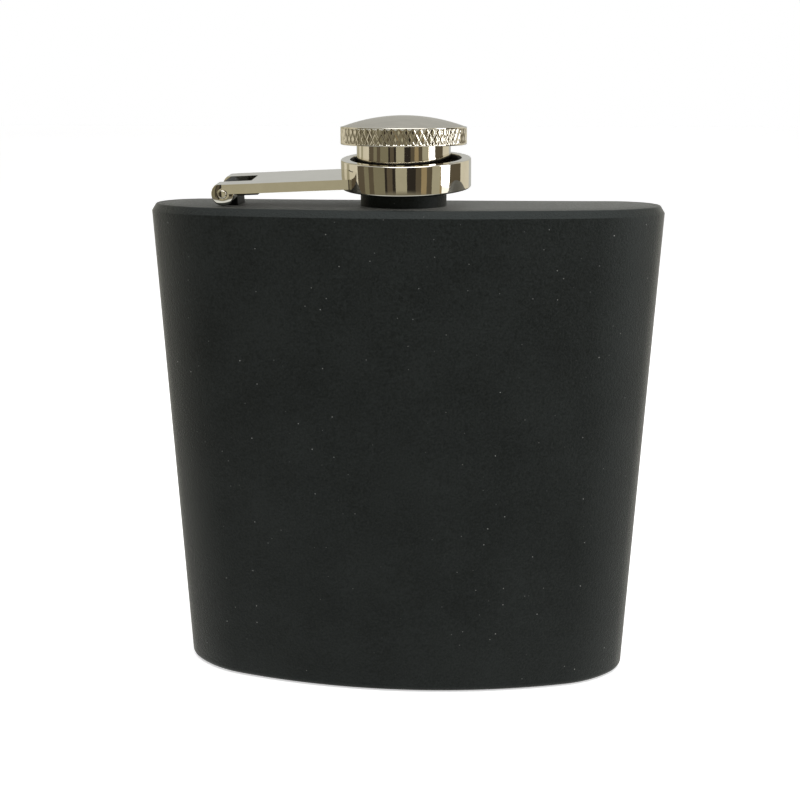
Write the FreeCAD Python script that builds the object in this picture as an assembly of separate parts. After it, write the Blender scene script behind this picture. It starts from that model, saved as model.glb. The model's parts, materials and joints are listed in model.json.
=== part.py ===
"""Hip flask with a screw cap held captive by a hinged arm.

Frame: millimetres, +Z up, origin at the centre of the base on the standing surface.
The neck and the cap stand on the Z axis, the arm lies along X, and the bulged face looks along -Y.
At rest the cap is backed off its thread and the arm lies on its stop.
"""
import FreeCAD, Part
import math
import os
from FreeCAD import Placement, Rotation, Vector

# ---- Driving dimensions -------------------------------------------------------------------
# Bottle: a tapered, kidney-shaped tube
BODY_HEIGHT = 90.5
TOP_WIDTH = 95.0
BASE_WIDTH = 86.2
TOP_BULGE = 15.8          # front face ahead of the line through the end-arc centres, at the top
BASE_BULGE = 16.5         # the same at the base
BACK_DEPTH = 7.9          # back face behind that line at the middle: less than END_RADIUS, so hollow
END_RADIUS = 8.8
SHOULDER_RADIUS = 20.0
SHOULDER_ANGLE = 41.5     # degrees, where the end arc hands over to the shoulder arc
END_LINE_Y = 3.85         # Y of the end-arc centres
WALL = 0.6
TOP_EDGE_DROP = 1.35      # sloping band round the top, its height
TOP_EDGE_INSET = 0.9      # and its width seen from above
TOP_INNER_RADIUS = 0.8
BASE_EDGE_RADIUS = 1.2
PLATE_THICKNESS = 0.8
TOP_PLATE_INSET = 1.9     # seam to the outline
BASE_PLATE_INSET = 1.7
SEAM_CHAMFER = 0.15

# Neck, heights above the top plate
COLLAR_RADIUS = 7.8
COLLAR_HEIGHT = 2.2
NECK_BORE = 5.4
NECK_HEIGHT = 9.0
LIP_RADIUS = 6.3
SPIGOT_RADIUS = 7.0
SPIGOT_DEPTH = 1.6        # below the top plate's upper face

# Screw thread: right-handed, one start
PITCH = 1.0
THREAD_TURNS = 3
NECK_ROOT = 6.45
NECK_CREST = 7.0
CAP_ROOT = 7.25
CAP_CREST = 6.7
RIDGE_ROOT_WIDTH = 0.5
RIDGE_CREST_WIDTH = 0.2
NECK_THREAD_START = 3.1   # centre of the ridge, above the top plate
CAP_THREAD_START = NECK_THREAD_START + (THREAD_TURNS + 0.5) * PITCH

# Cap, heights above the top plate with the cap backed off
HEAD_RADIUS = 11.35
HEAD_UNDERSIDE = 10.85
HEAD_RIM = 14.0
DOME_RADIUS = 11.0
DOME_RISE = 1.95
DOME_THICKNESS = 0.6
SKIRT_RADIUS = 8.48
SKIRT_END = 4.0
SKIRT_BORE = 7.45
INSERT_RADIUS = 7.95
INSERT_END = 6.15
INSERT_TOP = 12.7
INSERT_FLANGE_RADIUS = 9.2
INSERT_FLANGE_THICKNESS = 0.8
INSERT_ROOF = 1.1
GASKET_THICKNESS = 1.25
GASKET_RADIUS = CAP_ROOT - 0.05
CLIP_RADIUS = 9.45
CLIP_THICKNESS = 0.6
CLIP_BASE = 4.95
CLIP_GAP_ANGLE = 34.0     # degrees of the circle that the split clip leaves open
GROOVE_RADIUS = 8.0
RUNNING_CLEARANCE = 0.06

# Arm and ring, drawn level about the hinge pin, then set at the lean that the hinge holds them at
HINGE_X = -31.9
HINGE_Y = 0.24
PIN_HEIGHT = 2.8          # above the top plate
ARM_LEAN = 4.5            # degrees, front edge low
ARM_SLOPE = 2.6           # degrees, ring end high
RING_DISTANCE = 32.45     # hinge pin to ring centre
RING_LEVEL = 1.6          # hinge pin to the middle of the ring's height
RING_DROOP = 2.0          # degrees, far side of the ring low against the arm
ARM_WIDTH = 14.5
ARM_THICKNESS = 1.75
ARM_TOP = 1.75            # above the pin centre
ARM_FLARE = 1.2           # concave radius where the arm runs into the ring
SLOT_WIDTH = 6.5
SLOT_END = 4.7
EAR_RADIUS = 2.08
EAR_EDGE_RADIUS = 0.3
PIN_RADIUS = 0.75
PIN_HEAD_RADIUS = 0.82
PIN_HEAD_RISE = 0.3
PIN_RECESS_RADIUS = 1.02
PIN_RECESS_DEPTH = 0.12

# Ring, heights above its own base
RING_HEIGHT = 5.2
RING_RADIUS = 11.75
RING_BORE = 10.05
RING_EDGE_RADIUS = 0.3
LIP_BORE = 9.05
LIP_BASE = 3.3
LIP_TOP = 4.0
RING_COUNTERBORE = 10.15
LINER_BORE = 9.5
LINER_TOP = 5.05

# Hinge lug, in the arm's frame
LUG_WIDTH = 6.2
LUG_RADIUS = 1.7
LUG_FOOT_RIGHT = 1.8
LUG_LIP_RIGHT = 5.6       # past the end of the slot, so the arm comes to rest on the lip
LUG_LIP_THICKNESS = 0.8
LUG_STOP_GAP = 0.1

UP = Vector(0, 0, 1)


# ---- Helpers ------------------------------------------------------------------------------
def revolve(points):
    """Turn a closed outline of (radius, height) points about Z."""
    corners = [Vector(radius, 0, height) for radius, height in points]
    outline = Part.makePolygon(corners + [corners[0]])
    return Part.Face(outline).revolve(Vector(0, 0, 0), UP, 360)


def tube(outer, inner, base, top):
    """Plain ring between two radii and two heights."""
    return revolve([(inner, base), (outer, base), (outer, top), (inner, top)])


def disc(radius, base, top):
    """Plain round plate on the Z axis."""
    return Part.makeCylinder(radius, top - base, Vector(0, 0, base))


def box(low, high):
    """Block between two opposite corners."""
    return Part.makeBox(high[0] - low[0], high[1] - low[1], high[2] - low[2], Vector(*low))


def circle_edges(shape, radius, height):
    """Full circles of a given radius and height, for rounding."""
    found = []
    for edge in shape.Edges:
        if not isinstance(edge.Curve, Part.Circle):
            continue
        same_radius = abs(edge.Curve.Radius - radius) < 1e-6
        same_height = abs(edge.Curve.Center.z - height) < 1e-6
        if same_radius and same_height:
            found.append(edge)
    return found


def thread_ridge(root, crest, start):
    """Helical ridge of the screw thread, standing out from root to crest."""
    helix = Part.makeHelix(PITCH, PITCH * THREAD_TURNS, root)
    embed = 0.05 if crest > root else -0.05
    foot = root - embed
    half_root = RIDGE_ROOT_WIDTH / 2
    half_crest = RIDGE_CREST_WIDTH / 2
    corners = [
        Vector(foot, 0, -half_root),
        Vector(crest, 0, -half_crest),
        Vector(crest, 0, half_crest),
        Vector(foot, 0, half_root),
    ]
    profile = Part.makePolygon(corners + [corners[0]])
    ridge = Part.Wire(helix.Edges).makePipeShell([profile], True, True)
    ridge.translate(Vector(0, 0, start))
    return ridge


def body_outline(share, height, inset=0.0):
    """Kidney outline at a share of the way up (0 base, 1 top), drawn at a height, set in evenly.

    Six arcs meet tangentially: front bulge, two shoulders, two ends and the hollow back.
    """
    width = BASE_WIDTH + (TOP_WIDTH - BASE_WIDTH) * share
    bulge = BASE_BULGE + (TOP_BULGE - BASE_BULGE) * share
    lean = math.radians(SHOULDER_ANGLE)
    end_x = width / 2 - END_RADIUS
    reach = SHOULDER_RADIUS - END_RADIUS
    shoulder_x = end_x - reach * math.cos(lean)
    shoulder_y = reach * math.sin(lean)
    rest = bulge - SHOULDER_RADIUS
    front_y = (shoulder_x**2 + shoulder_y**2 - rest**2) / (2 * (rest + shoulder_y))
    hollow = (end_x**2 + BACK_DEPTH**2 - END_RADIUS**2) / (2 * (END_RADIUS - BACK_DEPTH))
    hollow_y = hollow + BACK_DEPTH

    front_turn = math.atan2(shoulder_x, front_y - shoulder_y)
    shoulder_turn = math.pi / 2 - lean
    back_turn = math.atan2(end_x, hollow_y)

    def on_arc(x, y, radius, turn):
        return Vector(x + radius * math.sin(turn), END_LINE_Y + y - radius * math.cos(turn), height)

    front = on_arc(0, front_y, front_y + bulge - inset, 0)
    shoulder_start = on_arc(shoulder_x, shoulder_y, SHOULDER_RADIUS - inset, front_turn)
    shoulder_middle = on_arc(
        shoulder_x, shoulder_y, SHOULDER_RADIUS - inset, (front_turn + shoulder_turn) / 2
    )
    end_start = on_arc(end_x, 0, END_RADIUS - inset, shoulder_turn)
    end_stop_turn = math.pi - back_turn
    end_middle = on_arc(end_x, 0, END_RADIUS - inset, (shoulder_turn + end_stop_turn) / 2)
    end_stop = on_arc(end_x, 0, END_RADIUS - inset, end_stop_turn)
    back = Vector(0, END_LINE_Y + BACK_DEPTH - inset, height)

    def mirrored(point):
        return Vector(-point.x, point.y, point.z)

    arcs = [
        Part.Arc(mirrored(shoulder_start), front, shoulder_start),
        Part.Arc(shoulder_start, shoulder_middle, end_start),
        Part.Arc(end_start, end_middle, end_stop),
        Part.Arc(end_stop, back, mirrored(end_stop)),
        Part.Arc(mirrored(end_stop), mirrored(end_middle), mirrored(end_start)),
        Part.Arc(mirrored(end_start), mirrored(shoulder_middle), mirrored(shoulder_start)),
    ]
    return Part.Wire([arc.toShape() for arc in arcs])


def body_block(low, high, inset):
    """Tapered solid of the body between two heights, set in evenly from the outside."""
    outlines = [body_outline(height / BODY_HEIGHT, height, inset) for height in (low, high)]
    return Part.makeLoft(outlines, True, True)


def rounded_at(shape, height, radius):
    """Round every edge that lies in the level plane at a height."""
    edges = []
    for edge in shape.Edges:
        heights = [vertex.Z for vertex in edge.Vertexes]
        if all(abs(level - height) < 1e-6 for level in heights):
            edges.append(edge)
    return shape.makeFillet(radius, edges)


def above_plate(shape):
    """Lift a shape drawn above the top plate to its place."""
    shape.translate(Vector(0, 0, BODY_HEIGHT))
    return shape


def on_arm(shape):
    """Place a shape drawn level about the hinge pin."""
    lean = Rotation(Vector(1, 0, 0), ARM_LEAN)
    slope = Rotation(Vector(0, 1, 0), -ARM_SLOPE)
    pin = Vector(HINGE_X, HINGE_Y, BODY_HEIGHT + PIN_HEIGHT)
    placed = shape.copy()
    placed.Placement = Placement(pin, lean.multiply(slope)).multiply(placed.Placement)
    return placed


def at_ring(shape):
    """Set a shape drawn on the Z axis, from the ring's base up, where the ring is on the arm."""
    placed = shape.copy()
    placed.translate(Vector(0, 0, -RING_HEIGHT / 2))
    placed.rotate(Vector(0, 0, 0), Vector(0, 1, 0), RING_DROOP)
    placed.translate(Vector(RING_DISTANCE, 0, RING_LEVEL))
    return placed


# ---- Bottle -------------------------------------------------------------------------------
def plate_seat(share, height, inset, thickness):
    """Straight-sided plate with the body's outline, one face at a height."""
    outline = body_outline(share, height, inset)
    return Part.Face(outline).extrude(Vector(0, 0, thickness))


def closing_plate(share, height, inset, inward):
    """End plate with a broken outer edge, which leaves a fine groove along the seam."""
    step = SEAM_CHAMFER * inward
    flat = plate_seat(share, height + step, inset, (PLATE_THICKNESS - SEAM_CHAMFER) * inward)
    outlines = [
        body_outline(share, height + step, inset),
        body_outline(share, height, inset + SEAM_CHAMFER),
    ]
    return flat.fuse(Part.makeLoft(outlines, True, True)).removeSplitter()


def body_shell():
    shoulder = BODY_HEIGHT - TOP_EDGE_DROP
    outlines = [
        body_outline(0, 0),
        body_outline(shoulder / BODY_HEIGHT, shoulder),
        body_outline(1, BODY_HEIGHT, TOP_EDGE_INSET),
    ]
    outer = Part.makeLoft(outlines, True, True)
    outer = rounded_at(outer, 0, BASE_EDGE_RADIUS)
    inner = body_block(PLATE_THICKNESS, BODY_HEIGHT - PLATE_THICKNESS, WALL)
    inner = rounded_at(inner, BODY_HEIGHT - PLATE_THICKNESS, TOP_INNER_RADIUS)
    mouth = plate_seat(1, BODY_HEIGHT, TOP_PLATE_INSET, -2 * PLATE_THICKNESS)
    foot = plate_seat(0, 0, BASE_PLATE_INSET, 2 * PLATE_THICKNESS)
    return outer.cut(inner).cut(mouth).cut(foot)


def top_plate():
    plate = closing_plate(1, BODY_HEIGHT, TOP_PLATE_INSET, -1)
    hole = disc(SPIGOT_RADIUS, BODY_HEIGHT - 2 * PLATE_THICKNESS, BODY_HEIGHT + PLATE_THICKNESS)
    return plate.cut(hole)


def base_plate():
    return closing_plate(0, 0, BASE_PLATE_INSET, 1)


def neck_spout():
    lead_in = 0.25
    profile = [
        (NECK_BORE, -SPIGOT_DEPTH),
        (SPIGOT_RADIUS, -SPIGOT_DEPTH),
        (SPIGOT_RADIUS, 0),
        (COLLAR_RADIUS, 0),
        (COLLAR_RADIUS, COLLAR_HEIGHT - lead_in),
        (COLLAR_RADIUS - lead_in, COLLAR_HEIGHT),
        (NECK_ROOT, COLLAR_HEIGHT),
        (NECK_ROOT, NECK_THREAD_START + PITCH * THREAD_TURNS + RIDGE_ROOT_WIDTH / 2),
        (LIP_RADIUS, NECK_THREAD_START + PITCH * THREAD_TURNS + RIDGE_ROOT_WIDTH),
        (LIP_RADIUS, NECK_HEIGHT - lead_in),
        (LIP_RADIUS - lead_in, NECK_HEIGHT),
        (NECK_BORE, NECK_HEIGHT),
    ]
    ridge = thread_ridge(NECK_ROOT, NECK_CREST, NECK_THREAD_START)
    return above_plate(revolve(profile).fuse(ridge))


def hinge_lug():
    half = LUG_WIDTH / 2
    below = -PIN_HEIGHT - 1.0
    knuckle = Part.makeCylinder(LUG_RADIUS, LUG_WIDTH, Vector(0, -half, 0), Vector(0, 1, 0))
    foot = box((-LUG_RADIUS, -half, below), (LUG_FOOT_RIGHT, half, -LUG_STOP_GAP))
    rear = box((-LUG_RADIUS, -half, below), (0, half, 0))
    lip = box((0, -half, -LUG_STOP_GAP - LUG_LIP_THICKNESS), (LUG_LIP_RIGHT, half, -LUG_STOP_GAP))
    bore = Part.makeCylinder(
        PIN_RADIUS + RUNNING_CLEARANCE, 2 * LUG_WIDTH, Vector(0, -LUG_WIDTH, 0), Vector(0, 1, 0)
    )
    lug = on_arm(knuckle.fuse([foot, rear, lip]).removeSplitter().cut(bore))
    reach = 3 * LUG_WIDTH
    low = (HINGE_X - reach, -reach, BODY_HEIGHT - reach)
    return lug.cut(box(low, (HINGE_X + reach, reach, BODY_HEIGHT)))


# ---- Arm and ring -------------------------------------------------------------------------
def arm_plan():
    """Outline of the arm from above: straight sides that flare out, then a chord inside the ring."""
    half = ARM_WIDTH / 2
    flare_y = half + ARM_FLARE
    flare_x = RING_DISTANCE - math.sqrt((RING_RADIUS + ARM_FLARE) ** 2 - flare_y**2)
    share = RING_RADIUS / (RING_RADIUS + ARM_FLARE)
    meet = Vector(RING_DISTANCE + (flare_x - RING_DISTANCE) * share, flare_y * share, 0)
    across = meet - Vector(flare_x, flare_y, 0)
    down = Vector(0, -ARM_FLARE, 0)
    middle = Vector(flare_x, flare_y, 0) + (across + down).normalize() * ARM_FLARE
    start = Vector(flare_x, half, 0)

    def mirrored(point):
        return Vector(point.x, -point.y, 0)

    edges = [
        Part.LineSegment(Vector(0, half, 0), start),
        Part.Arc(start, middle, meet),
        Part.LineSegment(meet, mirrored(meet)),
        Part.Arc(mirrored(meet), mirrored(middle), mirrored(start)),
        Part.LineSegment(mirrored(start), Vector(0, -half, 0)),
        Part.LineSegment(Vector(0, -half, 0), Vector(0, half, 0)),
    ]
    return Part.Face(Part.Wire([edge.toShape() for edge in edges]))


def retaining_arm():
    half = ARM_WIDTH / 2
    plan = arm_plan()
    plan.translate(Vector(0, 0, ARM_TOP - ARM_THICKNESS))
    arm = plan.extrude(Vector(0, 0, ARM_THICKNESS))
    ears = Part.makeCylinder(EAR_RADIUS, ARM_WIDTH, Vector(0, -half, 0), Vector(0, 1, 0))
    ears = ears.makeFillet(EAR_EDGE_RADIUS, [e for e in ears.Edges if len(e.Vertexes) == 1])
    past = 2 * EAR_RADIUS
    above = box((-past, -ARM_WIDTH, ARM_TOP), (past, ARM_WIDTH, past))
    slot = box((-past, -SLOT_WIDTH / 2, -past), (SLOT_END, SLOT_WIDTH / 2, past))
    arm = arm.fuse(ears).cut(above).removeSplitter().cut(slot)
    arm = arm.cut(at_ring(disc(RING_RADIUS, 0, RING_HEIGHT)))
    pin_hole = Part.makeCylinder(PIN_RADIUS, 2 * ARM_WIDTH, Vector(0, -ARM_WIDTH, 0), Vector(0, 1, 0))
    arm = arm.cut(pin_hole)
    for side in (-1, 1):
        floor = Vector(0, side * (half - PIN_RECESS_DEPTH), 0)
        recess = Part.makeCylinder(PIN_RECESS_RADIUS, 1, floor, Vector(0, side, 0))
        arm = arm.cut(recess)
    return on_arm(arm)


def retaining_ring():
    profile = [
        (RING_COUNTERBORE, 0),
        (RING_RADIUS, 0),
        (RING_RADIUS, RING_HEIGHT),
        (RING_BORE, RING_HEIGHT),
        (RING_BORE, LIP_TOP),
        (LIP_BORE, LIP_TOP),
        (LIP_BORE, LIP_BASE),
        (RING_COUNTERBORE, LIP_BASE),
    ]
    ring = revolve(profile)
    rims = circle_edges(ring, RING_RADIUS, RING_HEIGHT) + circle_edges(ring, RING_RADIUS, 0)
    return on_arm(at_ring(ring.makeFillet(RING_EDGE_RADIUS, rims)))


def ring_liner():
    return on_arm(at_ring(tube(RING_BORE, LINER_BORE, LIP_TOP, LINER_TOP)))


def hinge_pin():
    """Rivet whose two domed heads sit in shallow recesses in the ears."""
    seat = ARM_WIDTH / 2 - PIN_RECESS_DEPTH
    shaft = disc(PIN_RADIUS, -seat, seat)
    ball = (PIN_HEAD_RADIUS**2 + PIN_HEAD_RISE**2) / (2 * PIN_HEAD_RISE)
    centre = seat + PIN_HEAD_RISE - ball
    head = Part.makeSphere(ball, Vector(0, 0, centre)).common(disc(ball, seat, seat + ball))
    other = head.mirror(Vector(0, 0, 0), UP)
    pin = shaft.fuse([head, other])
    pin.rotate(Vector(0, 0, 0), Vector(1, 0, 0), -90)
    return on_arm(pin)


# ---- Cap ----------------------------------------------------------------------------------
def retaining_clip():
    """Split ring that runs in the skirt's groove, under the lip of the retaining ring."""
    clip = tube(CLIP_RADIUS, GROOVE_RADIUS + RUNNING_CLEARANCE, CLIP_BASE, CLIP_BASE + CLIP_THICKNESS)
    half_gap = math.radians(CLIP_GAP_ANGLE / 2)
    reach = 2 * CLIP_RADIUS
    side = reach * math.tan(half_gap)
    corners = [Vector(0, 0, 0), Vector(side, reach, 0), Vector(-side, reach, 0), Vector(0, 0, 0)]
    wedge = Part.Face(Part.makePolygon(corners)).extrude(Vector(0, 0, 2 * CLIP_BASE))
    return above_plate(clip.cut(wedge))


def cap_knob():
    """Head and skirt, turned in one piece."""
    bevel = 0.2
    groove_base = CLIP_BASE - RUNNING_CLEARANCE
    groove_top = CLIP_BASE + CLIP_THICKNESS + RUNNING_CLEARANCE
    seat = HEAD_RIM - DOME_THICKNESS
    flange_seat = INSERT_TOP - INSERT_FLANGE_THICKNESS
    profile = [
        (SKIRT_BORE, SKIRT_END),
        (SKIRT_RADIUS - bevel, SKIRT_END),
        (SKIRT_RADIUS, SKIRT_END + bevel),
        (SKIRT_RADIUS, groove_base),
        (GROOVE_RADIUS, groove_base),
        (GROOVE_RADIUS, groove_top),
        (SKIRT_RADIUS, groove_top),
        (SKIRT_RADIUS, HEAD_UNDERSIDE),
        (HEAD_RADIUS - bevel, HEAD_UNDERSIDE),
        (HEAD_RADIUS, HEAD_UNDERSIDE + bevel),
        (HEAD_RADIUS, HEAD_RIM - bevel),
        (HEAD_RADIUS - bevel, HEAD_RIM),
        (DOME_RADIUS, HEAD_RIM),
        (DOME_RADIUS, seat),
        (INSERT_FLANGE_RADIUS, seat),
        (INSERT_FLANGE_RADIUS, flange_seat),
        (INSERT_RADIUS, flange_seat),
        (INSERT_RADIUS, INSERT_END),
        (SKIRT_BORE, INSERT_END),
    ]
    return above_plate(revolve(profile))


def cap_dome():
    """Pressed cover of even thickness, a shallow piece of a sphere."""
    ball = (DOME_RADIUS**2 + DOME_RISE**2) / (2 * DOME_RISE)
    centre = Vector(0, 0, HEAD_RIM + DOME_RISE - ball)
    cover = Part.makeSphere(ball, centre).cut(Part.makeSphere(ball - DOME_THICKNESS, centre))
    cover = cover.common(disc(DOME_RADIUS, HEAD_RIM - DOME_THICKNESS, HEAD_RIM + 2 * DOME_RISE))
    edge_inner = DOME_RADIUS - 2 * DOME_THICKNESS
    edge = tube(DOME_RADIUS, edge_inner, HEAD_RIM - DOME_THICKNESS, HEAD_RIM)
    return above_plate(cover.fuse(edge).removeSplitter())


def thread_insert():
    """Plastic cup pressed into the cap, which carries the cap's thread and the gasket."""
    profile = [
        (CAP_ROOT, INSERT_END),
        (INSERT_RADIUS, INSERT_END),
        (INSERT_RADIUS, INSERT_TOP - INSERT_FLANGE_THICKNESS),
        (INSERT_FLANGE_RADIUS, INSERT_TOP - INSERT_FLANGE_THICKNESS),
        (INSERT_FLANGE_RADIUS, INSERT_TOP),
        (0, INSERT_TOP),
        (0, INSERT_TOP - INSERT_ROOF),
        (CAP_ROOT, INSERT_TOP - INSERT_ROOF),
    ]
    ridge = thread_ridge(CAP_ROOT, CAP_CREST, CAP_THREAD_START)
    return above_plate(revolve(profile).fuse(ridge))


def gasket():
    roof = INSERT_TOP - INSERT_ROOF
    return above_plate(disc(GASKET_RADIUS, roof - GASKET_THICKNESS, roof))


# ---- Output -------------------------------------------------------------------------------
PIECES = [
    body_shell,
    top_plate,
    base_plate,
    neck_spout,
    hinge_lug,
    retaining_arm,
    retaining_ring,
    ring_liner,
    hinge_pin,
    retaining_clip,
    cap_knob,
    cap_dome,
    thread_insert,
    gasket,
]

os.makedirs("parts", exist_ok=True)
for build in PIECES:
    shape = build()
    name = build.__name__
    if not shape.isValid() or len(shape.Solids) != 1:
        raise RuntimeError(f"{name}: {len(shape.Solids)} solids, valid {shape.isValid()}")
    shape.exportStep(f"parts/{name}.step")
    print(f"{name}: {shape.Volume:.1f} mm3")
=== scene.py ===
"""Looks of the hip flask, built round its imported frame. Blender 4.5, metres, the CAD's own frame."""
import json
import math

import bmesh
import bpy
from mathutils import Matrix, Vector

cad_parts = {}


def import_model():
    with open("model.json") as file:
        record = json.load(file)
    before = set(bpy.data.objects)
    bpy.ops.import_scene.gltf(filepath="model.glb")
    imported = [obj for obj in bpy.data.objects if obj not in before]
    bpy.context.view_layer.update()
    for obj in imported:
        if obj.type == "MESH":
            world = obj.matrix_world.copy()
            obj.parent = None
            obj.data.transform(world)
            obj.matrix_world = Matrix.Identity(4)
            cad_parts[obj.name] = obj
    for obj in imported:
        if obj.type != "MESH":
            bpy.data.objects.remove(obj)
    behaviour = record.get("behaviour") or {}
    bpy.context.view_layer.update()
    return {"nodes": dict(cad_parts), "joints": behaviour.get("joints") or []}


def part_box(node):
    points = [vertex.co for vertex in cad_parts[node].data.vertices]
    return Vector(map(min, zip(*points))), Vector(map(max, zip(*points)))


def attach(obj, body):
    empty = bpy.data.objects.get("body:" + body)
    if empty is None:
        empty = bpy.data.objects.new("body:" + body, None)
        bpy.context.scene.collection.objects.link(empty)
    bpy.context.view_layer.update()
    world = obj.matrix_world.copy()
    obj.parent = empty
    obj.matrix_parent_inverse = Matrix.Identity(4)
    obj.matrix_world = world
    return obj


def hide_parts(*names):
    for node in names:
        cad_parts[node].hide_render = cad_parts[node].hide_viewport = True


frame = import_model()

MM = 0.001

# ---- Places, read from the frame ----------------------------------------------------------
PLATE_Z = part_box("body_shell")[1].z
KNOB_LOW, KNOB_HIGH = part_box("cap_knob")
HINGE = next(joint for joint in frame["joints"] if joint["name"] == "arm_hinge")
PIN = Vector(HINGE["pos_m"])
ARM_LEAN = math.atan2(-HINGE["axis"][2], -HINGE["axis"][1])
ARM_SLOPE = math.radians(2.6)
TO_ARM = (
    Matrix.Translation(PIN)
    @ Matrix.Rotation(ARM_LEAN, 4, "X")
    @ Matrix.Rotation(-ARM_SLOPE, 4, "Y")
)
RING_DISTANCE = 32.45 * MM
RING_LEVEL = 1.6 * MM
RING_DROOP = math.radians(2.0)
RING_HEIGHT = 5.2 * MM
TO_RING = (
    TO_ARM
    @ Matrix.Translation((RING_DISTANCE, 0, RING_LEVEL))
    @ Matrix.Rotation(RING_DROOP, 4, "Y")
    @ Matrix.Translation((0, 0, -RING_HEIGHT / 2))
)
TO_PLATE = Matrix.Translation((0, 0, PLATE_Z))

# ---- Bottle -------------------------------------------------------------------------------
BODY_HEIGHT = PLATE_Z
TOP_WIDTH = 95.0 * MM
BASE_WIDTH = 86.2 * MM
TOP_BULGE = 15.8 * MM
BASE_BULGE = 16.5 * MM
BACK_DEPTH = 7.9 * MM
END_RADIUS = 8.8 * MM
SHOULDER_RADIUS = 20.0 * MM
SHOULDER_ANGLE = math.radians(41.5)
END_LINE_Y = 3.85 * MM
WALL = 0.6 * MM
TOP_EDGE_DROP = 1.35 * MM
TOP_EDGE_INSET = 0.9 * MM
TOP_INNER_RADIUS = 0.8 * MM
BASE_EDGE_RADIUS = 1.2 * MM
PLATE_THICKNESS = 0.8 * MM
TOP_PLATE_INSET = 1.9 * MM
BASE_PLATE_INSET = 1.7 * MM
SEAM = 0.15 * MM
PLATE_RING_INSET = 6 * MM       # of the first ring of points inside the seam

# ---- Neck, cap and ring radii -------------------------------------------------------------
COLLAR_RADIUS = 7.8 * MM
COLLAR_HEIGHT = 2.2 * MM
NECK_BORE = 5.4 * MM
NECK_HEIGHT = 9.0 * MM
LIP_RADIUS = 6.3 * MM
SPIGOT_RADIUS = 7.0 * MM
SPIGOT_DEPTH = 1.6 * MM
PITCH = 1.0 * MM
THREAD_TURNS = 3
NECK_ROOT = 6.45 * MM
NECK_CREST = 7.0 * MM
CAP_ROOT = 7.25 * MM
CAP_CREST = 6.7 * MM
NECK_THREAD_START = 3.1 * MM
CAP_THREAD_START = NECK_THREAD_START + (THREAD_TURNS + 0.5) * PITCH
RIDGE_ROOT = 0.25 * MM          # from the middle of the ridge to its foot
RIDGE_FLANK = 0.15 * MM
RIDGE_FADE = 0.08               # of a turn

HEAD_RADIUS = (KNOB_HIGH.x - KNOB_LOW.x) / 2
HEAD_UNDERSIDE = 10.85 * MM
HEAD_RIM = KNOB_HIGH.z - PLATE_Z
DOME_RADIUS = 11.0 * MM
DOME_RISE = 1.95 * MM
DOME_THICKNESS = 0.6 * MM
DOME_INSIDE_SHARE = 0.96        # of the outside's radius
SKIRT_RADIUS = 8.48 * MM
SKIRT_END = KNOB_LOW.z - PLATE_Z
SKIRT_BORE = 7.45 * MM
INSERT_RADIUS = 7.95 * MM
INSERT_END = 6.15 * MM
INSERT_TOP = 12.7 * MM
INSERT_CEILING = 11.6 * MM
FLANGE_RADIUS = 9.2 * MM
FLANGE_BASE = 11.9 * MM
GROOVE_RADIUS = 8.0 * MM
GROOVE_BASE = 4.89 * MM
GROOVE_TOP = 5.61 * MM

RING_RADIUS = 11.75 * MM
RING_BORE = 10.05 * MM
RING_LIP_BORE = 9.05 * MM
RING_LIP_BASE = 3.3 * MM
RING_LIP_TOP = 4.0 * MM
RING_COUNTERBORE = 10.15 * MM
LINER_BORE = 9.5 * MM
LINER_TOP = 5.05 * MM
RING_CORE = RING_RADIUS - 0.7 * MM

ARM_WIDTH = 14.5 * MM
ARM_TOP = 1.75 * MM
ARM_FLARE = 1.2 * MM
ARM_EASING = 0.13 * MM
SLOT_WIDTH = 6.5 * MM
SLOT_END = 4.7 * MM
EAR_RADIUS = 2.08 * MM
EAR_EDGE_RADIUS = 0.35 * MM
EAR_FLAT_RADIUS = 1.15 * MM
EAR_CONE_RADIUS = 1.75 * MM
EAR_CONE_DROP = 0.16 * MM
EAR_PROUD = 0.01 * MM           # keeps the ear's face out of the arm's side plane
PIN_RADIUS = 0.75 * MM
PIN_CLEARANCE = 0.06 * MM
PIN_HEAD_RADIUS = 0.78 * MM
PIN_HEAD_EDGE = 0.22 * MM
PIN_HEAD_RISE = 0.10 * MM
PIN_RECESS_RADIUS = 1.02 * MM
PIN_RECESS_DEPTH = 0.40 * MM
LUG_WIDTH = 6.2 * MM
LUG_RADIUS = 1.7 * MM
LUG_FOOT_RIGHT = 1.8 * MM
LUG_LIP_RIGHT = 5.6 * MM
LUG_LIP_THICKNESS = 0.8 * MM
LUG_STOP_GAP = 0.1 * MM
LUG_FOOT_DEPTH = 5 * MM
LUG_EASING = 0.1 * MM

# Diamond knurl: straight grooves that cross, so many round the head, each rising one lead
KNURL_GROOVES = 58
KNURL_LEAD = 2.4 * MM
KNURL_DEPTH = 0.13 * MM
KNURL_GROOVE_SHARE = 0.5
KNURL_MARGIN = 0.2 * MM
KNURL_FADE = 0.12 * MM
KNURL_ROWS = 44
KNURL_POINTS = 16               # round the head, for each groove

OUTLINE_STEPS = (60, 26, 44, 60)
BEYOND = 20 * MM                # reach of a cutting block past what it cuts
WELD_GAP = 0.002 * MM
EASED_ANGLE = math.radians(40)
SMOOTH_ANGLE = math.radians(38)


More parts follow.
